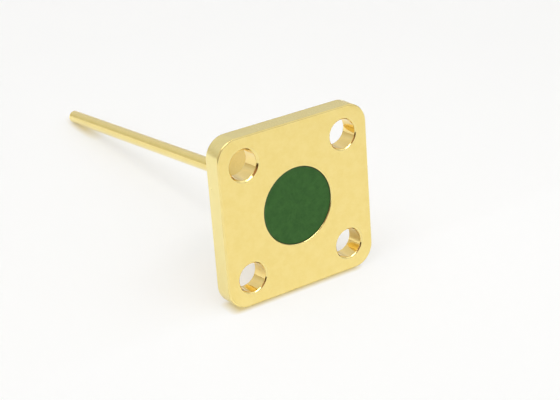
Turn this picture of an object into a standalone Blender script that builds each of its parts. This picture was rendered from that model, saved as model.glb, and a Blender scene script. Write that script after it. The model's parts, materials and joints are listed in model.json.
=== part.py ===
"""Hermetic flange connector: a gold-plated square flange with a hub behind it, green glass fused into
the bore, and a long contact pin sealed in the glass. It lies as it comes to rest on a level surface,
on the rear bottom edge of the flange and the tip of the pin.

World frame: metres, +Z up, the surface at z = 0, the pin pointing to +Y, the glass disc facing -Y.
Connector frame, used by every shape below: the origin is the middle of the front face, +Z points out of
that face, +Y is up along it, and the pin runs towards -Z.
"""

import math

import bmesh
import bpy

MM = 0.001

# Flange plate
FLANGE_SIDE = 12.7 * MM
FLANGE_THICKNESS = 1.52 * MM
CORNER_RADIUS = 1.6 * MM
EDGE_BREAK = 0.12 * MM
HOLE_EDGE_DISTANCE = 2.1 * MM
HOLE_DIAMETER = 2.2 * MM
HOLE_CHAMFER = 0.09 * MM
TOP_LEFT_CHAMFER = 0.13 * MM

# Hub behind the plate, bored for the glass
HUB_LENGTH = 4.5 * MM
HUB_WALL = 0.5 * MM
HUB_CHAMFER = 0.15 * MM
HUB_ROOT_FILLET = 0.25 * MM
BORE_DIAMETER = 5.8 * MM
BORE_CHAMFER = 0.045 * MM

# Sealing glass, which creeps up the metal a little at both ends
SEAL_CLEARANCE = 0.02 * MM
GLASS_FRONT_RECESS = 0.11 * MM
GLASS_FRONT_CREEP = 0.04 * MM
GLASS_REAR_RECESS = 0.3 * MM
GLASS_REAR_CREEP = 0.12 * MM

# Contact pin, bent down a little just behind the hub
PIN_DIAMETER = 1.08 * MM
PIN_FREE_LENGTH = 28.4 * MM
PIN_END_COVER = 1.0 * MM
PIN_TIP_CHAMFER = 0.15 * MM
PIN_STRAIGHT_LENGTH = 1.5 * MM
PIN_BEND_RADIUS = 58.0 * MM
PIN_BEND_ANGLE = math.radians(4.2)

# How finely the round shapes are divided
BORE_STEPS = 96
HOLE_STEPS = 48
CORNER_STEPS = 12
BREAK_STEPS = 2
FILLET_STEPS = 4
BEND_STEPS = 6
PIN_BEVEL_RESOLUTION = 10
CUT_THROUGH = 1.0 * MM
MERGE_DISTANCE = 1e-7

HOLE_PITCH = FLANGE_SIDE - 2 * HOLE_EDGE_DISTANCE
HUB_DIAMETER = BORE_DIAMETER + 2 * HUB_WALL
HUB_END = -(FLANGE_THICKNESS + HUB_LENGTH)


def clear_scene():
    for old in list(bpy.data.objects):
        bpy.data.objects.remove(old, do_unlink=True)


def new_collection(name):
    collection = bpy.data.collections.new(name)
    bpy.context.scene.collection.children.link(collection)
    return collection


def principled(name, color, roughness, metallic):
    """A material with the piece's colour, roughness and metallic value."""
    material = bpy.data.materials.new(name)
    material.use_nodes = True
    shader = material.node_tree.nodes["Principled BSDF"]
    shader.inputs["Base Color"].default_value = (*color, 1.0)
    shader.inputs["Roughness"].default_value = roughness
    shader.inputs["Metallic"].default_value = metallic
    return material


def add_object(name, data, collection, parent=None, material=None):
    obj = bpy.data.objects.new(name, data)
    collection.objects.link(obj)
    obj.parent = parent
    if material:
        obj.data.materials.append(material)
    return obj


def arc(centre, radius, start, end, steps):
    """Points (x, z) of an arc about centre, from the start angle to the end angle."""
    angles = [start + (end - start) * i / steps for i in range(steps + 1)]
    return [(centre[0] + radius * math.cos(a), centre[1] + radius * math.sin(a)) for a in angles]


def turned(name, profile, steps, collection, parent, material=None):
    """The profile of (x, z) points, top to bottom on its outer side, swept about Z by a Screw modifier."""
    mesh = bpy.data.meshes.new(name)
    edges = [(i, i + 1) for i in range(len(profile) - 1)]
    mesh.from_pydata([(x, 0.0, z) for x, z in profile], edges, [])
    obj = add_object(name, mesh, collection, parent, material)
    screw = obj.modifiers.new("turn", "SCREW")
    screw.axis = "Z"
    screw.steps = steps
    screw.render_steps = steps
    screw.use_merge_vertices = True
    screw.merge_threshold = MERGE_DISTANCE
    screw.use_smooth_shade = False
    return obj


def hide_tool(obj):
    """A cutter or a tool shape, which is not a piece of the connector."""
    obj.hide_render = True
    obj.display_type = "WIRE"


def boolean(obj, operation, tool):
    modifier = obj.modifiers.new(f"{operation.lower()} {tool.name}", "BOOLEAN")
    modifier.operation = operation
    modifier.solver = "EXACT"
    modifier.object = tool


def flange_plate(collection, parent, material):
    """The square plate with rounded corners and a small break along the edges of both faces."""
    mesh = bpy.data.meshes.new("flange_body")
    form = bmesh.new()
    bmesh.ops.create_cube(form, size=1.0)
    bmesh.ops.scale(form, vec=(FLANGE_SIDE, FLANGE_SIDE, FLANGE_THICKNESS), verts=form.verts)
    bmesh.ops.translate(form, vec=(0.0, 0.0, -FLANGE_THICKNESS / 2), verts=form.verts)
    corners = [e for e in form.edges if abs(e.verts[0].co.z - e.verts[1].co.z) > FLANGE_THICKNESS / 2]
    bmesh.ops.bevel(
        form, geom=corners, offset=CORNER_RADIUS, segments=CORNER_STEPS, profile=0.5, affect="EDGES"
    )
    form.to_mesh(mesh)
    form.free()
    plate = add_object("flange_body", mesh, collection, parent, material)
    edge_break = plate.modifiers.new("edge break", "BEVEL")
    edge_break.limit_method = "ANGLE"
    edge_break.angle_limit = math.radians(60)
    edge_break.width = EDGE_BREAK
    edge_break.segments = BREAK_STEPS
    return plate


def hub_tool(tools, parent):
    """The hub as a solid of revolution: flared by a fillet at its root, chamfered at its free end."""
    radius = HUB_DIAMETER / 2
    rear = -FLANGE_THICKNESS
    fillet_centre = (radius + HUB_ROOT_FILLET, rear - HUB_ROOT_FILLET)
    profile = [(0.0, rear / 2), (radius + HUB_ROOT_FILLET, rear / 2)]
    profile += arc(fillet_centre, HUB_ROOT_FILLET, math.pi / 2, math.pi, FILLET_STEPS)
    profile += [(radius, HUB_END + HUB_CHAMFER), (radius - HUB_CHAMFER, HUB_END), (0.0, HUB_END)]
    return turned("hub", profile, BORE_STEPS, tools, parent)


def bore_tool(tools, parent):
    """The bore that runs through the plate and the hub, with a small chamfer at the front face."""
    radius = BORE_DIAMETER / 2
    bottom = HUB_END - CUT_THROUGH
    profile = [
        (0.0, CUT_THROUGH),
        (radius + BORE_CHAMFER + CUT_THROUGH, CUT_THROUGH),
        (radius, -BORE_CHAMFER),
        (radius, bottom),
        (0.0, bottom),
    ]
    return turned("bore", profile, BORE_STEPS, tools, parent)


def screw_hole_tools(tools, parent):
    """Four cutters, each a plain hole with small chamfers. The top left one is chamfered deeper in front."""
    radius = HOLE_DIAMETER / 2
    rear = -FLANGE_THICKNESS
    cutters = []
    for column in (-1, 1):
        for row in (-1, 1):
            chamfer = TOP_LEFT_CHAMFER if (column, row) == (-1, 1) else HOLE_CHAMFER
            profile = [
                (0.0, CUT_THROUGH),
                (radius + chamfer + CUT_THROUGH, CUT_THROUGH),
                (radius, -chamfer),
                (radius, rear + HOLE_CHAMFER),
                (radius + HOLE_CHAMFER + CUT_THROUGH, rear - CUT_THROUGH),
                (0.0, rear - CUT_THROUGH),
            ]
            cutter = turned(f"screw_hole_{len(cutters) + 1}", profile, HOLE_STEPS, tools, parent)
            cutter.location = (column * HOLE_PITCH / 2, row * HOLE_PITCH / 2, 0.0)
            cutters.append(cutter)
    return cutters


def flange_body(collection, tools, parent, gold):
    body = flange_plate(collection, parent, gold)
    hub = hub_tool(tools, parent)
    boolean(body, "UNION", hub)
    cutters = [bore_tool(tools, parent), *screw_hole_tools(tools, parent)]
    for cutter in cutters:
        boolean(body, "DIFFERENCE", cutter)
    for tool in [hub, *cutters]:
        hide_tool(tool)
    return body


def glass_seal(collection, parent, glass):
    """The glass fills the bore between its two recessed ends, and is closed in front of the pin."""
    outer = BORE_DIAMETER / 2 - SEAL_CLEARANCE
    inner = PIN_DIAMETER / 2 + SEAL_CLEARANCE
    front = -GLASS_FRONT_RECESS
    rear = HUB_END + GLASS_REAR_RECESS
    seat = -PIN_END_COVER + SEAL_CLEARANCE
    rise = GLASS_FRONT_CREEP
    fall = GLASS_REAR_CREEP
    quarter = math.pi / 2
    profile = [(0.0, front)]
    profile += arc((outer - rise, front + rise), rise, -quarter, 0.0, FILLET_STEPS)
    profile += arc((outer - fall, rear - fall), fall, 0.0, quarter, FILLET_STEPS)
    profile += arc((inner + fall, rear - fall), fall, quarter, 2 * quarter, FILLET_STEPS)
    profile += [(inner, seat), (0.0, seat)]
    return turned("glass_seal", profile, BORE_STEPS, collection, parent, glass)


def pin_route():
    """The pin's centre line: straight out of the hub, a slight bend down, then straight to the tip."""
    bend_start = HUB_END - PIN_STRAIGHT_LENGTH
    points = [(0.0, -PIN_END_COVER), (0.0, bend_start)]
    for i in range(1, BEND_STEPS + 1):
        angle = PIN_BEND_ANGLE * i / BEND_STEPS
        y = -PIN_BEND_RADIUS * (1 - math.cos(angle))
        z = bend_start - PIN_BEND_RADIUS * math.sin(angle)
        points.append((y, z))
    rest = PIN_FREE_LENGTH - PIN_STRAIGHT_LENGTH - PIN_BEND_RADIUS * PIN_BEND_ANGLE
    y, z = points[-1]
    points.append((y - rest * math.sin(PIN_BEND_ANGLE), z - rest * math.cos(PIN_BEND_ANGLE)))
    return points


def inset(end, neighbour, distance):
    """The point that lies this far from end, towards neighbour."""
    share = distance / math.dist(end, neighbour)
    return tuple(e + (n - e) * share for e, n in zip(end, neighbour))


def contact_pin(collection, parent, gold):
    """The pin as a round tube along its route, with both ends chamfered."""
    route = pin_route()
    first = inset(route[0], route[1], PIN_TIP_CHAMFER)
    last = inset(route[-1], route[-2], PIN_TIP_CHAMFER)
    points = [route[0], first, *route[1:-1], last, route[-1]]
    curve = bpy.data.curves.new("contact_pin", "CURVE")
    curve.dimensions = "3D"
    curve.bevel_depth = PIN_DIAMETER / 2
    curve.bevel_resolution = PIN_BEVEL_RESOLUTION
    curve.use_fill_caps = True
    spline = curve.splines.new("POLY")
    spline.points.add(len(points) - 1)
    for target, (y, z) in zip(spline.points, points):
        target.co = (0.0, y, z, 1.0)
    narrow = 1 - PIN_TIP_CHAMFER / (PIN_DIAMETER / 2)
    spline.points[0].radius = narrow
    spline.points[-1].radius = narrow
    return add_object("contact_pin", curve, collection, parent, gold)


def lay_at_rest(frame):
    """Leans the connector back until the plate's rear edge and the pin's tip touch z = 0, and centres it."""
    tip_y, tip_z = inset(pin_route()[-1], pin_route()[-2], PIN_TIP_CHAMFER)
    tip_y -= PIN_DIAMETER / 2 * math.cos(PIN_BEND_ANGLE)
    tip_z += PIN_DIAMETER / 2 * math.sin(PIN_BEND_ANGLE)
    edge_y, edge_z = -FLANGE_SIDE / 2, -(FLANGE_THICKNESS - EDGE_BREAK)
    lean = math.atan2(tip_y - edge_y, edge_z - tip_z)
    frame.rotation_euler = (math.pi / 2 - lean, 0.0, 0.0)
    frame.location.z = edge_z * -math.sin(lean) - edge_y * math.cos(lean)
    bpy.context.view_layer.update()
    graph = bpy.context.evaluated_depsgraph_get()
    reach = []
    for piece in frame.children:
        if not piece.hide_render:
            evaluated = piece.evaluated_get(graph)
            mesh = evaluated.to_mesh()
            reach += [(evaluated.matrix_world @ v.co).y for v in mesh.vertices]
            evaluated.to_mesh_clear()
    frame.location.y = -(min(reach) + max(reach)) / 2


def main():
    clear_scene()
    pieces = new_collection("hermetic_flange_connector")
    tools = new_collection("cutters")
    frame = bpy.data.objects.new("connector_frame", None)
    pieces.objects.link(frame)
    plating = principled("gold_plated_flange", (0.88, 0.66, 0.24), 0.3, 1.0)
    pin_plating = principled("gold_plated_pin", (0.86, 0.64, 0.23), 0.22, 1.0)
    glass = principled("green_sealing_glass", (0.045, 0.12, 0.036), 0.35, 0.0)
    flange_body(pieces, tools, frame, plating)
    glass_seal(pieces, frame, glass)
    contact_pin(pieces, frame, pin_plating)
    lay_at_rest(frame)


main()
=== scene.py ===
"""Finish, surroundings and camera of the hermetic flange connector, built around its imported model.

Metres and +Z up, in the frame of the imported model. The shapes are made in the connector frame, as the
model is: the origin is the middle of the front face, +Z points out of that face, +Y is up along it, and
the pin runs towards -Z.
"""

import json
import math

import bmesh
import bpy
from mathutils import Matrix, Vector

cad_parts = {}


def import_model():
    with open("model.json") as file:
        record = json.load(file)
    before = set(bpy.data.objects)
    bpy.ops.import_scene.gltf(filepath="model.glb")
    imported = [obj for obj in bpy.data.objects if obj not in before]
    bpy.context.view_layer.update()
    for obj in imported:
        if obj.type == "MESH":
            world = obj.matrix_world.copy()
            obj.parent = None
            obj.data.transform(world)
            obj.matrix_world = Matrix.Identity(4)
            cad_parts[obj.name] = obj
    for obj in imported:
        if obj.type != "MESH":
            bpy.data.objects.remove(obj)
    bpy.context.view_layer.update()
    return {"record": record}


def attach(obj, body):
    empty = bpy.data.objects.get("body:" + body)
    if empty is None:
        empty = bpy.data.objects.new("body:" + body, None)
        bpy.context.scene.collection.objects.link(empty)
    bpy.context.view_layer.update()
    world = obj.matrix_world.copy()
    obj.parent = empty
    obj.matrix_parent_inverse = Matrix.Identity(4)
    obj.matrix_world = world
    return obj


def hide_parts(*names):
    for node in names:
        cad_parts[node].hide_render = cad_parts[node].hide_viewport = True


MM = 0.001

# Flange plate
FLANGE_SIDE = 12.7 * MM
FLANGE_THICKNESS = 1.52 * MM
CORNER_RADIUS = 1.6 * MM
EDGE_BREAK = 0.12 * MM
HOLE_EDGE_DISTANCE = 2.1 * MM
HOLE_DIAMETER = 2.2 * MM
HOLE_CHAMFER = 0.09 * MM
TOP_LEFT_CHAMFER = 0.13 * MM
HOLE_SOFTENING = 0.025 * MM

# Hub behind the plate, bored for the glass
HUB_LENGTH = 4.5 * MM
HUB_WALL = 0.5 * MM
HUB_CHAMFER = 0.15 * MM
HUB_ROOT_FILLET = 0.25 * MM
BORE_DIAMETER = 5.8 * MM
BORE_CHAMFER = 0.045 * MM

# Sealing glass, with a meniscus at the metal. Its height follows a power of the nearness to the metal
GLASS_FRONT_RECESS = 0.11 * MM
GLASS_FRONT_CREEP = 0.04 * MM
GLASS_REAR_RECESS = 0.3 * MM
GLASS_REAR_CREEP = 0.12 * MM
MENISCUS_WIDTH = 0.3 * MM
MENISCUS_POWER = 2.5

# Contact pin
PIN_DIAMETER = 1.08 * MM
PIN_FREE_LENGTH = 28.4 * MM
PIN_END_COVER = 1.0 * MM
PIN_TIP_CHAMFER = 0.15 * MM
PIN_TIP_SOFTENING = 0.06 * MM
PIN_STRAIGHT_LENGTH = 1.5 * MM
PIN_BEND_RADIUS = 58.0 * MM
PIN_BEND_ANGLE = math.radians(4.2)

# How finely the round shapes are divided
CORNER_STEPS = 20
BORE_STEPS = 192
HOLE_STEPS = 96
PIN_STEPS = 64
SOFT_STEPS = 5
MENISCUS_STEPS = 8
BEND_STEPS = 12

# How far the small edges are softened, and the most of a side that one softened corner may take
SOFT_EDGE = 0.02 * MM
SOFT_SHARE = 0.45

# How strongly wide faces set the shading of the narrow ones beside them, from 1 to 100
WIDE_FACE_WEIGHT = 100

HOLE_PITCH = FLANGE_SIDE - 2 * HOLE_EDGE_DISTANCE
HUB_DIAMETER = BORE_DIAMETER + 2 * HUB_WALL
HUB_END = -(FLANGE_THICKNESS + HUB_LENGTH)

# Column and row of the screw hole with the wider chamfer
TOP_LEFT = (-1, 1)

# Where the mount on the front face lies, up the face from the connector frame's origin
FRONT_MOUNT_HEIGHT = 4.6 * MM

# Material slots of the flange, and those of the faces from a flat over a chamfer to the wall beyond
FACE, EDGE, BREAK, WALL, HUB = range(5)
CHAMFER_SLOTS = [BREAK] * (2 * SOFT_STEPS + 2)

# Camera. Its lens and sensor are in millimetres, its nearest and farthest reach in metres
CAMERA_PLACE = Vector((-55.90, -93.45, 57.95)) * MM
CAMERA_AZIMUTH = math.radians(-35.25)
CAMERA_ELEVATION = math.radians(28.23)
CAMERA_LENS = 98.15
CAMERA_SENSOR = 36.0
CAMERA_CLIPS = (0.005, 10.0)

# Floor
FLOOR_SIZE = 3.0
FLOOR_COLOR = (0.93, 0.93, 0.92)
FLOOR_ROUGHNESS = 0.9
FLOOR_SCATTER = 0.5 * MM

# The floor's own even white, with a faint painted pool of light round the connector. The even white is part
# of the floor's look, so that shadows stay as light as on a lit table
FLOOR_NEAR_WHITE = 1.0
FLOOR_FAR_WHITE = 0.945
PAINTED_LIGHT_POOL = (0.004, -0.016, 0.0)
PAINTED_LIGHT_POOL_REACH = (0.010, 0.050)

# The share of that white by the place along Y, to the camera and in reflections. The larger shares in front
# of the plate are painted light on the floor there, and in reflections a painted bright floor that the face
# mirrors. In reflections the share is none under and behind the plate. The foot of the plate reaches from
# -0.0174 to -0.0159
SEEN_SHARES = ((-0.0210, 0.70), (-0.0174, 0.70), (-0.0155, 0.45))
MIRRORED_SHARES = ((-0.0220, 0.45), (-0.0185, 0.90), (-0.0179, 0.90), (-0.0174, 0.0))

# Where the plate and the tip of the pin touch the floor, a painted warm contact shade, darker than the
# floor's white and warmed by painted light from the gold above: middle, reach and fade
CONTACTS = (
    ((-0.0004, -0.01655, 0.0), (0.0050, 0.00059, 1.0), (0.0009, 0.0005, 1.0)),
    ((0.0001, 0.0156, 0.0), (0.0002, 0.0002, 1.0), (0.0007, 0.0029, 1.0)),
)
PAINTED_CONTACT_SHADE = (0.80, 0.63, 0.26)
FLOOR_GLOW = (1.0, 1.0, 0.99)

# Area lights: name, direction to the light, distance, width, depth and brightness
SOFTBOXES = (
    ("left_softbox", (-0.39, -0.03, 1.0), 0.40, 0.25, 0.25, 2.4),
    ("strip_softbox", (0.05, -0.46, 0.88), 0.40, 0.25, 0.045, 5.0),
    ("right_softbox", (0.55, -0.20, 0.80), 0.40, 0.28, 0.26, 0.38),
)

# Colours of the room by the height of the direction: 0 is level, 1 is straight up
ROOM_STOPS = (
    (0.0, (0.60, 0.54, 0.43)),
    (0.16, (0.65, 0.62, 0.56)),
    (0.30, (0.73, 0.73, 0.74)),
    (0.42, (0.80, 0.78, 0.75)),
    (0.75, (0.66, 0.66, 0.67)),
    (1.0, (0.53, 0.53, 0.54)),
)

# A dark leaning board beside the camera. Only its reflections show, in the chamfers of the holes
DARK_BOARD = (
    Vector((-99.8, -57.9, 0.2)) * MM,
    Vector((-60.0, -95.7, 0.2)) * MM,
    Vector((-27.0, -122.0, 148.0)) * MM,
    Vector((-75.8, -80.6, 148.0)) * MM,
)
DARK_BOARD_HEIGHTS = (0.020, 0.065)
DARK_BOARD_COLORS = ((0.05, 0.020, 0.008), (0.40, 0.19, 0.10))

# Noises: features per millimetre, detail and roughness. How many grains the gold has is in GOLD_LOOKS
GOLD_CLOUD = (0.9, 5.0, 0.8)
GOLD_GRAIN = (4.0, 0.6)
GLASS_CLOUD = (1.6, 3.0, 0.55)
GLASS_SPECKS = (6.0, 5.0, 0.75)
GLASS_GRAIN = (9.0, 3.0, 0.55)

# The levels of those noises over which the tone or the roughness runs from its first value to its second
GOLD_CLOUD_LEVELS = (0.4, 0.6)
GOLD_GRAIN_LEVELS = (0.25, 0.75)
GLASS_MOTTLE_LEVELS = (0.75, 1.25)
GLASS_GRAIN_LEVELS = (0.3, 0.7)

# Gold plating: two tones, lowest and highest roughness, grains per millimetre, and depth of the relief in
# millimetres. Where given, the stretch of the grain along the axes, and the weight of a clear coat, whose
# reflections pale the gold at glancing angles
GOLD_LOOKS = {
    "gold_face": {
        "tones": ((0.975, 0.793, 0.308), (0.945, 0.755, 0.272)),
        "roughness": (0.28, 0.38),
        "grain": 7.0,
        "relief": 0.004,
    },
    # The sides are the same gold as the face. Their paler tones are a painted paleness of reflection; their
    # higher roughness is their own finish
    "gold_edge": {
        "tones": ((0.95, 0.83, 0.385), (0.935, 0.805, 0.355)),
        "roughness": (0.22, 0.28),
        "grain": 3.0,
        "relief": 0.0006,
    },
    "gold_break": {
        "tones": ((0.92, 0.77, 0.32), (0.90, 0.74, 0.30)),
        "roughness": (0.12, 0.18),
        "grain": 5.0,
        "relief": 0.0006,
    },
    "gold_wall": {
        "tones": ((0.985, 0.765, 0.285), (0.965, 0.735, 0.265)),
        "roughness": (0.06, 0.12),
        "grain": 5.0,
        "relief": 0.001,
        "stretch": (1.0, 1.0, 0.3),
        "coat": 0.5,
    },
    "gold_hub": {
        "tones": ((0.985, 0.735, 0.245), (0.96, 0.70, 0.22)),
        "roughness": (0.10, 0.18),
        "grain": 4.0,
        "relief": 0.0015,
    },
    "gold_pin": {
        "tones": ((0.955, 0.785, 0.265), (0.935, 0.755, 0.245)),
        "roughness": (0.20, 0.28),
        "grain": 6.0,
        "relief": 0.001,
        "stretch": (1.0, 1.0, 0.08),
        "coat": 0.9,
    },
}
COAT_ROUGHNESS = 0.15
COAT_IOR = 1.5

# Green glass, with the depth of its relief in millimetres
GLASS_TONES = ((0.014, 0.090, 0.005), (0.031, 0.128, 0.014))
GLASS_ROUGHNESS = (0.28, 0.38)
GLASS_IOR = 1.5
GLASS_SPECULAR = 0.3
GLASS_RELIEF = 0.002

# Where the dark line round the glass begins and is full, in millimetres from the axis
GLASS_RIM = (2.82, 2.88)
GLASS_RIM_COLOR = (0.012, 0.022, 0.003)


def connector_matrix(record):
    """Where the connector frame lies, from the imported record's mount on the front face."""
    mount = next(m for m in record["mounts"] if m["name"] == "flange_front_face")
    out = Vector(mount["axis"]).normalized()
    across = Vector((1.0, 0.0, 0.0))
    up = out.cross(across).normalized()
    origin = Vector(mount["pos_m"]) - up * FRONT_MOUNT_HEIGHT
    columns = (across, up, out)
    rotation = Matrix([[column[row] for column in columns] for row in range(3)])
    return Matrix.Translation(origin) @ rotation.to_4x4()


def softened(points, distance):
    """The open outline with each inner corner replaced by a curve that starts this far from the corner."""
    points = [Vector(p) for p in points]
    result = [points[0]]
    for before, corner, after in zip(points, points[1:], points[2:]):
        reach_in = min(distance, (before - corner).length * SOFT_SHARE)
        reach_out = min(distance, (after - corner).length * SOFT_SHARE)
        start = corner + (before - corner).normalized() * reach_in
        end = corner + (after - corner).normalized() * reach_out
        for i in range(SOFT_STEPS + 1):
            t = i / SOFT_STEPS
            result.append(start * (1 - t) ** 2 + corner * 2 * t * (1 - t) + end * t**2)
    result.append(points[-1])
    return result


def circle(radius, steps, centre=(0.0, 0.0)):
    """Points evenly round a circle."""
    angles = [2 * math.pi * i / steps for i in range(steps)]
    return [(centre[0] + radius * math.cos(a), centre[1] + radius * math.sin(a)) for a in angles]


def rounded_square(inset):
    """Outline of the plate, moved inwards by inset."""
    reach = FLANGE_SIDE / 2 - CORNER_RADIUS
    radius = CORNER_RADIUS - inset
    points = []
    for quarter, (x, y) in enumerate(((1, 1), (-1, 1), (-1, -1), (1, -1))):
        for i in range(CORNER_STEPS + 1):
            angle = math.pi / 2 * (quarter + i / CORNER_STEPS)
            points.append((x * reach + radius * math.cos(angle), y * reach + radius * math.sin(angle)))
    return points


def join_rings(form, rings, slots):
    """Quads between each ring of vertices and the next. All the rings are of equal length."""
    for first, second, slot in zip(rings, rings[1:], slots):
        count = len(first)
        for i in range(count):
            j = (i + 1) % count
            form.faces.new((first[i], first[j], second[j], second[i])).material_index = slot


def sweep(form, outline_at, profile, slots):
    """Rings of the outline along the profile of (size, z), joined up. Returns the first and the last."""
    rings = [[form.verts.new((x, y, z)) for x, y in outline_at(size)] for size, z in profile]
    join_rings(form, rings, slots)
    return rings[0], rings[-1]


def turn(form, profile, slots, steps, centre=(0.0, 0.0)):
    """Circles along the profile of (radius, z), joined up. Returns the first and the last."""
    return sweep(form, lambda radius: circle(radius, steps, centre), profile, slots)


def fill_flat(form, rings, slot):
    """A flat face bounded by the outer ring and pierced by the others."""
    edges = [form.edges.get(pair) for ring in rings for pair in zip(ring, ring[1:] + ring[:1])]
    made = bmesh.ops.triangle_fill(form, edges=edges, use_beauty=True)
    for item in made["geom"]:
        if isinstance(item, bmesh.types.BMFace):
            item.material_index = slot


def add_object(name, data):
    """A new object in the scene."""
    obj = bpy.data.objects.new(name, data)
    bpy.context.scene.collection.objects.link(obj)
    return obj


def piece_from(name, form, matrix, materials):
    """An object from the form, with its place in its mesh."""
    bmesh.ops.recalc_face_normals(form, faces=form.faces)
    mesh = bpy.data.meshes.new(name)
    form.to_mesh(mesh)
    form.free()
    mesh.transform(matrix)
    mesh.shade_smooth()
    for material in materials:
        mesh.materials.append(material)
    obj = add_object(name, mesh)
    normals = obj.modifiers.new("normals", "WEIGHTED_NORMAL")
    normals.mode = "FACE_AREA"
    normals.weight = WIDE_FACE_WEIGHT
    normals.keep_sharp = False
    return obj


def hole_profile(front_chamfer):
    """(radius, z) of a screw hole from the front face to the rear face, a small chamfer at each."""
    radius = HOLE_DIAMETER / 2
    rear = -FLANGE_THICKNESS
    corners = [
        (radius + front_chamfer + 2 * HOLE_SOFTENING, 0.0),
        (radius + front_chamfer, 0.0),
        (radius, -front_chamfer),
        (radius, rear + HOLE_CHAMFER),
        (radius + HOLE_CHAMFER, rear),
        (radius + HOLE_CHAMFER + 2 * HOLE_SOFTENING, rear),
    ]
    return softened(corners, HOLE_SOFTENING)


def hub_profile():
    """(radius, z) from the plate's rear face over the hub, round its free end and back through the bore."""
    hub = HUB_DIAMETER / 2
    bore = BORE_DIAMETER / 2
    rear = -FLANGE_THICKNESS
    fillet = []
    for i in range(SOFT_STEPS + 1):
        angle = math.pi / 2 * i / SOFT_STEPS
        radius = hub + HUB_ROOT_FILLET * (1 - math.sin(angle))
        fillet.append((radius, rear - HUB_ROOT_FILLET * (1 - math.cos(angle))))
    corners = [
        (hub, rear - HUB_ROOT_FILLET),
        (hub, HUB_END + HUB_CHAMFER),
        (hub - HUB_CHAMFER, HUB_END),
        (bore, HUB_END),
        (bore, -BORE_CHAMFER),
        (bore + BORE_CHAMFER, 0.0),
        (bore + BORE_CHAMFER + 2 * SOFT_EDGE, 0.0),
    ]
    return fillet + softened(corners, SOFT_EDGE)[1:]


def flange_body(matrix, materials):
    """The plate with its broken edges and four screw holes, and the bored hub behind it."""
    form = bmesh.new()
    rear = -FLANGE_THICKNESS
    rim = softened([(2 * EDGE_BREAK, 0.0), (0.0, 0.0), (0.0, rear), (2 * EDGE_BREAK, rear)], EDGE_BREAK)
    rim_slots = [BREAK] * SOFT_STEPS + [EDGE] + [BREAK] * SOFT_STEPS
    first, last = sweep(form, rounded_square, rim[1:-1], rim_slots)
    front_rings, rear_rings = [first], [last]
    hole_slots = CHAMFER_SLOTS + [WALL] + CHAMFER_SLOTS
    for column in (-1, 1):
        for row in (-1, 1):
            centre = (column * HOLE_PITCH / 2, row * HOLE_PITCH / 2)
            chamfer = TOP_LEFT_CHAMFER if (column, row) == TOP_LEFT else HOLE_CHAMFER
            first, last = turn(form, hole_profile(chamfer), hole_slots, HOLE_STEPS, centre)
            front_rings.append(first)
            rear_rings.append(last)
    profile = hub_profile()
    hub_slots = [HUB] * (len(profile) - 1 - len(CHAMFER_SLOTS)) + CHAMFER_SLOTS
    first, last = turn(form, profile, hub_slots, BORE_STEPS)
    rear_rings.append(first)
    front_rings.append(last)
    fill_flat(form, front_rings, FACE)
    fill_flat(form, rear_rings, FACE)
    return piece_from("flange", form, matrix, materials)


def meniscus(level, wall, sign, creep):
    """(radius, z) of the glass from a wall to where it is level, inwards or outwards by the sign."""
    points = []
    for i in range(MENISCUS_STEPS + 1):
        share = i / MENISCUS_STEPS
        height = creep * (1 - share) ** MENISCUS_POWER
        points.append((wall + sign * MENISCUS_WIDTH * share, level + height))
    return points


def glass_seal(matrix, material):
    """The glass from its front over the bore and its rear to the seat that holds the end of the pin."""
    outer = BORE_DIAMETER / 2
    inner = PIN_DIAMETER / 2
    front = -GLASS_FRONT_RECESS
    rear = HUB_END + GLASS_REAR_RECESS
    seat = -PIN_END_COVER
    profile = [
        *reversed(meniscus(front, outer, -1, GLASS_FRONT_CREEP)),
        *meniscus(rear, outer, -1, -GLASS_REAR_CREEP),
        *reversed(meniscus(rear, inner, 1, -GLASS_REAR_CREEP)),
        (inner, seat),
    ]
    form = bmesh.new()
    front_ring, seat_ring = turn(form, profile, [0] * (len(profile) - 1), BORE_STEPS)
    for ring, z in ((front_ring, front), (seat_ring, seat)):
        middle = form.verts.new((0.0, 0.0, z))
        for i in range(BORE_STEPS):
            form.faces.new((ring[i], ring[(i + 1) % BORE_STEPS], middle))
    return piece_from("sealing_glass", form, matrix, [material])


def pin_route():
    """(y, z, angle below the axis) along the pin: straight out of the hub, a slight bend, straight on."""
    bend_start = HUB_END - PIN_STRAIGHT_LENGTH
    route = [(0.0, -PIN_END_COVER, 0.0), (0.0, bend_start, 0.0)]
    for i in range(1, BEND_STEPS + 1):
        angle = PIN_BEND_ANGLE * i / BEND_STEPS
        y = -PIN_BEND_RADIUS * (1 - math.cos(angle))
        route.append((y, bend_start - PIN_BEND_RADIUS * math.sin(angle), angle))
    rest = PIN_FREE_LENGTH - PIN_STRAIGHT_LENGTH - PIN_BEND_RADIUS * PIN_BEND_ANGLE
    y, z, angle = route[-1]
    route.append((y - rest * math.sin(angle), z - rest * math.cos(angle), angle))
    return route


def contact_pin(matrix, material):
    """The pin as rings along its route, with a softened chamfer at its tip."""
    form = bmesh.new()
    radius = PIN_DIAMETER / 2
    *along, (tip_y, tip_z, tip_angle) = pin_route()
    stations = [(y, z, angle, radius) for y, z, angle in along]
    narrow = radius - PIN_TIP_CHAMFER
    corners = [(radius, 2 * PIN_TIP_CHAMFER), (radius, PIN_TIP_CHAMFER), (narrow, 0.0), (narrow / 2, 0.0)]
    for size, back in softened(corners, PIN_TIP_SOFTENING):
        y = tip_y + back * math.sin(tip_angle)
        z = tip_z + back * math.cos(tip_angle)
        stations.append((y, z, tip_angle, size))
    rings = []
    for y, z, angle, size in stations:
        ring = []
        for px, py in circle(size, PIN_STEPS):
            ring.append(form.verts.new((px, y + py * math.cos(angle), z - py * math.sin(angle))))
        rings.append(ring)
    join_rings(form, rings, [0] * (len(rings) - 1))
    form.faces.new(rings[0])
    form.faces.new(rings[-1])
    return piece_from("pin", form, matrix, [material])


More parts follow.
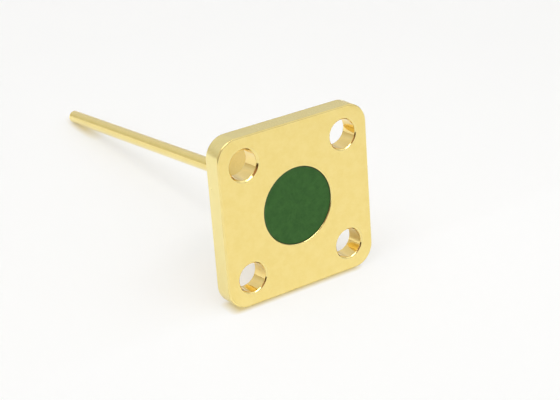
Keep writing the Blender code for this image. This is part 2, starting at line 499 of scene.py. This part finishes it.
def feed(tree, socket, value):
    """Links the input to another node's output, or sets it to a plain value."""
    if isinstance(value, bpy.types.NodeSocket):
        tree.links.new(value, socket)
    else:
        socket.default_value = value


def feed_inputs(tree, node, inputs):
    """Links or sets each named input of the node."""
    for name, value in inputs.items():
        feed(tree, node.inputs[name], value)


def add_node(tree, kind, inputs=None, **settings):
    """A shader node with its settings and its inputs."""
    node = tree.nodes.new(kind)
    for name, value in settings.items():
        setattr(node, name, value)
    feed_inputs(tree, node, inputs or {})
    return node


def connector_space(tree, matrix):
    """Coordinates in the connector frame, in millimetres."""
    inverse = matrix.inverted()
    coordinates = add_node(tree, "ShaderNodeTexCoord")
    mapping = add_node(
        tree,
        "ShaderNodeMapping",
        {
            "Vector": coordinates.outputs["Object"],
            "Scale": (1 / MM, 1 / MM, 1 / MM),
            "Rotation": inverse.to_euler(),
            "Location": inverse.translation / MM,
        },
        vector_type="POINT",
    )
    return mapping.outputs["Vector"]


def noise(tree, vector, scale, detail, roughness):
    """Noise with this many features per unit of the vector."""
    inputs = {"Vector": vector, "Scale": scale, "Detail": detail, "Roughness": roughness}
    return add_node(tree, "ShaderNodeTexNoise", inputs).outputs["Fac"]


def remap(tree, value, low, high, to_low=0.0, to_high=1.0):
    """The value moved from one range to another, and held within it."""
    inputs = {"Value": value, "From Min": low, "From Max": high, "To Min": to_low, "To Max": to_high}
    return add_node(tree, "ShaderNodeMapRange", inputs).outputs["Result"]


def scalar_math(tree, operation, first, second):
    """The outcome of the operation on two numbers."""
    made = add_node(tree, "ShaderNodeMath", {0: first, 1: second}, operation=operation)
    return made.outputs["Value"]


def vector_math(tree, operation, *values):
    """The outcome of the operation on one or two vectors."""
    made = add_node(tree, "ShaderNodeVectorMath", dict(enumerate(values)), operation=operation)
    return made.outputs["Value" if operation in ("LENGTH", "DISTANCE") else "Vector"]


def color_ramp(tree, value, stops):
    """A colour that runs straight from stop to stop. Each is a place from 0 to 1 and the colour there."""
    ramp = add_node(tree, "ShaderNodeValToRGB", {"Fac": value})
    elements = ramp.color_ramp.elements
    while len(elements) < len(stops):
        elements.new(1.0)
    for element, (position, color) in zip(elements, stops):
        element.position = position
        element.color = (*color, 1.0)
    return ramp.outputs["Color"]


def levels_along(tree, value, stops):
    """A level that runs straight from stop to stop. Each is a place and the level there."""
    low, high = stops[0][0], stops[-1][0]
    grey = [((place - low) / (high - low), (level, level, level)) for place, level in stops]
    ramp = color_ramp(tree, remap(tree, value, low, high), grey)
    return add_node(tree, "ShaderNodeSeparateColor", {0: ramp}).outputs[0]


def blend_colors(tree, factor, first, second):
    """The first colour where the factor is 0, the second where it is 1. Each is a triple or an output."""
    mix = add_node(tree, "ShaderNodeMix", data_type="RGBA")
    for name, value in (("Factor", factor), ("A", first), ("B", second)):
        socket = next(s for s in mix.inputs if s.name == name and s.enabled)
        feed(tree, socket, (*value, 1.0) if isinstance(value, tuple) else value)
    return next(s for s in mix.outputs if s.enabled)


def relief_normal(tree, height, depth):
    """The normal of a surface with this relief. The depth is in millimetres."""
    inputs = {"Height": height, "Distance": depth * MM, "Strength": 1.0}
    return add_node(tree, "ShaderNodeBump", inputs).outputs["Normal"]


def new_material(name):
    """A material, its node tree and its main shader."""
    material = bpy.data.materials.new(name)
    material.use_nodes = True
    return material, material.node_tree, material.node_tree.nodes["Principled BSDF"]


def show(tree, output):
    """Makes this the look of the material's surface."""
    tree.links.new(output, tree.nodes["Material Output"].inputs["Surface"])


def gold(name, matrix, tones, roughness, grain, relief, stretch=(1.0, 1.0, 1.0), coat=0.0):
    """Gold plating. Its tone wanders between two colours, and its roughness and relief follow the grain."""
    material, tree, shader = new_material(name)
    place = connector_space(tree, matrix)
    cloud = noise(tree, place, *GOLD_CLOUD)
    fine = noise(tree, vector_math(tree, "MULTIPLY", place, stretch), grain, *GOLD_GRAIN)
    look = {
        "Base Color": blend_colors(tree, remap(tree, cloud, *GOLD_CLOUD_LEVELS), *tones),
        "Metallic": 1.0,
        "Roughness": remap(tree, fine, *GOLD_GRAIN_LEVELS, *roughness),
        "Normal": relief_normal(tree, fine, relief),
        "Coat Weight": coat,
        "Coat Roughness": COAT_ROUGHNESS,
        "Coat IOR": COAT_IOR,
    }
    feed_inputs(tree, shader, look)
    return material


def green_glass(matrix):
    """Opaque green glass, mottled, with a thin dark line where it meets the metal of the bore."""
    material, tree, shader = new_material("green_sealing_glass")
    place = connector_space(tree, matrix)
    cloud = noise(tree, place, *GLASS_CLOUD)
    specks = noise(tree, place, *GLASS_SPECKS)
    fine = noise(tree, place, *GLASS_GRAIN)
    mottle = remap(tree, scalar_math(tree, "ADD", cloud, specks), *GLASS_MOTTLE_LEVELS)
    green = blend_colors(tree, mottle, *GLASS_TONES)
    radius = vector_math(tree, "LENGTH", vector_math(tree, "MULTIPLY", place, (1.0, 1.0, 0.0)))
    look = {
        "Base Color": blend_colors(tree, remap(tree, radius, *GLASS_RIM), green, GLASS_RIM_COLOR),
        "Roughness": remap(tree, fine, *GLASS_GRAIN_LEVELS, *GLASS_ROUGHNESS),
        "IOR": GLASS_IOR,
        "Specular IOR Level": GLASS_SPECULAR,
        "Normal": relief_normal(tree, fine, GLASS_RELIEF),
    }
    feed_inputs(tree, shader, look)
    return material


def distance_beyond(tree, place, middle, reach, fade):
    """How far past its reach a place lies from the middle, in fades: 0 within it, 1 where the fade ends."""
    offset = vector_math(tree, "ABSOLUTE", vector_math(tree, "SUBTRACT", place, middle))
    past = vector_math(tree, "MAXIMUM", vector_math(tree, "SUBTRACT", offset, reach), (0.0, 0.0, 0.0))
    return vector_math(tree, "LENGTH", vector_math(tree, "DIVIDE", past, fade))


def floor_white(tree, place):
    """The floor's even white, with a painted pool of light round the connector and painted warm shade at
    its contacts.
    """
    away = vector_math(tree, "DISTANCE", place, PAINTED_LIGHT_POOL)
    white = remap(tree, away, *PAINTED_LIGHT_POOL_REACH, FLOOR_NEAR_WHITE, FLOOR_FAR_WHITE)
    white_and_painted_shade = FLOOR_GLOW
    for contact in CONTACTS:
        apart = remap(tree, distance_beyond(tree, place, *contact), 0.0, 1.0)
        white_and_painted_shade = blend_colors(tree, apart, PAINTED_CONTACT_SHADE, white_and_painted_shade)
    even = add_node(tree, "ShaderNodeEmission", {"Color": white_and_painted_shade, "Strength": white})
    return even.outputs["Emission"]


def floor_finish():
    """White card that softens shadows by scattering, with a share of its own even white."""
    material, tree, shader = new_material("pale_floor")
    shader.subsurface_method = "BURLEY"
    look = {
        "Base Color": (*FLOOR_COLOR, 1.0),
        "Roughness": FLOOR_ROUGHNESS,
        "Specular IOR Level": 0.0,
        "Subsurface Weight": 1.0,
        "Subsurface Radius": (1.0, 1.0, 1.0),
        "Subsurface Scale": FLOOR_SCATTER,
    }
    feed_inputs(tree, shader, look)
    place = add_node(tree, "ShaderNodeTexCoord").outputs["Object"]
    along = add_node(tree, "ShaderNodeSeparateXYZ", {0: place}).outputs["Y"]
    seen_by = add_node(tree, "ShaderNodeLightPath").outputs
    share = 0.0
    for ray, shares in (("Is Camera Ray", SEEN_SHARES), ("Is Glossy Ray", MIRRORED_SHARES)):
        shown = scalar_math(tree, "MULTIPLY", seen_by[ray], levels_along(tree, along, shares))
        share = scalar_math(tree, "ADD", share, shown)
    inputs = {0: share, 1: shader.outputs["BSDF"], 2: floor_white(tree, place)}
    show(tree, add_node(tree, "ShaderNodeMixShader", inputs).outputs["Shader"])
    return material


def floor():
    """The level surface on which the connector lies."""
    mesh = bpy.data.meshes.new("floor")
    form = bmesh.new()
    bmesh.ops.create_grid(form, x_segments=1, y_segments=1, size=FLOOR_SIZE / 2)
    form.to_mesh(mesh)
    form.free()
    mesh.materials.append(floor_finish())
    obj = add_object("floor", mesh)


def softbox(name, direction, distance, width, depth, brightness):
    """A rectangular area light that faces the connector, hidden from the camera."""
    data = bpy.data.lights.new(name, "AREA")
    data.shape = "RECTANGLE"
    data.size = width
    data.size_y = depth
    data.energy = brightness * math.pi * width * depth
    obj = add_object(name, data)
    towards = Vector(direction).normalized()
    obj.location = towards * distance
    obj.rotation_euler = towards.to_track_quat("Z", "Y").to_euler()
    obj.visible_camera = False


def dark_board():
    """A brown board, darkest at its foot, that shows in reflections only."""
    mesh = bpy.data.meshes.new("dark_board")
    mesh.from_pydata(DARK_BOARD, [], [(0, 1, 2, 3)])
    material, tree, shader = new_material("dark_board")
    tree.nodes.remove(shader)
    place = add_node(tree, "ShaderNodeTexCoord").outputs["Object"]
    height = add_node(tree, "ShaderNodeSeparateXYZ", {0: place}).outputs["Z"]
    brown = blend_colors(tree, remap(tree, height, *DARK_BOARD_HEIGHTS), *DARK_BOARD_COLORS)
    show(tree, add_node(tree, "ShaderNodeEmission", {"Color": brown, "Strength": 1.0}).outputs["Emission"])
    mesh.materials.append(material)
    obj = add_object("dark_board", mesh)
    obj.visible_camera = False
    obj.visible_diffuse = False
    obj.visible_transmission = False
    obj.visible_shadow = False


def surroundings():
    """A pale room, brightest part of the way up."""
    world = bpy.data.worlds.new("room")
    bpy.context.scene.world = world
    world.use_nodes = True
    tree = world.node_tree
    direction = add_node(tree, "ShaderNodeTexCoord").outputs["Generated"]
    height = add_node(tree, "ShaderNodeSeparateXYZ", {0: direction}).outputs["Z"]
    tree.links.new(color_ramp(tree, height, ROOM_STOPS), tree.nodes["Background"].inputs["Color"])


def camera():
    """The camera of the photo."""
    data = bpy.data.cameras.new("camera")
    data.lens = CAMERA_LENS
    data.sensor_width = CAMERA_SENSOR
    data.clip_start, data.clip_end = CAMERA_CLIPS
    obj = add_object("camera", data)
    obj.location = CAMERA_PLACE
    obj.rotation_euler = (math.pi / 2 - CAMERA_ELEVATION, 0.0, CAMERA_AZIMUTH)
    bpy.context.scene.camera = obj


def main():
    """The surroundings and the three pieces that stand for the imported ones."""
    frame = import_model()
    matrix = connector_matrix(frame["record"])
    camera()
    floor()
    dark_board()
    surroundings()
    for row in SOFTBOXES:
        softbox(*row)
    bpy.context.scene.view_settings.view_transform = "Standard"

    golds = {name: gold(name, matrix, **look) for name, look in GOLD_LOOKS.items()}
    flange_golds = [golds[f"gold_{part}"] for part in ("face", "edge", "break", "wall", "hub")]
    pieces = [
        (flange_body(matrix, flange_golds), "flange_body", "flange_plating"),
        (glass_seal(matrix, green_glass(matrix)), "glass_seal", "sealing_glass"),
        (contact_pin(matrix, golds["gold_pin"]), "contact_pin", "pin_plating"),
    ]
    for piece, node, slot in pieces:
        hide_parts(node)
        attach(piece, "root")
    bpy.context.view_layer.update()


main()
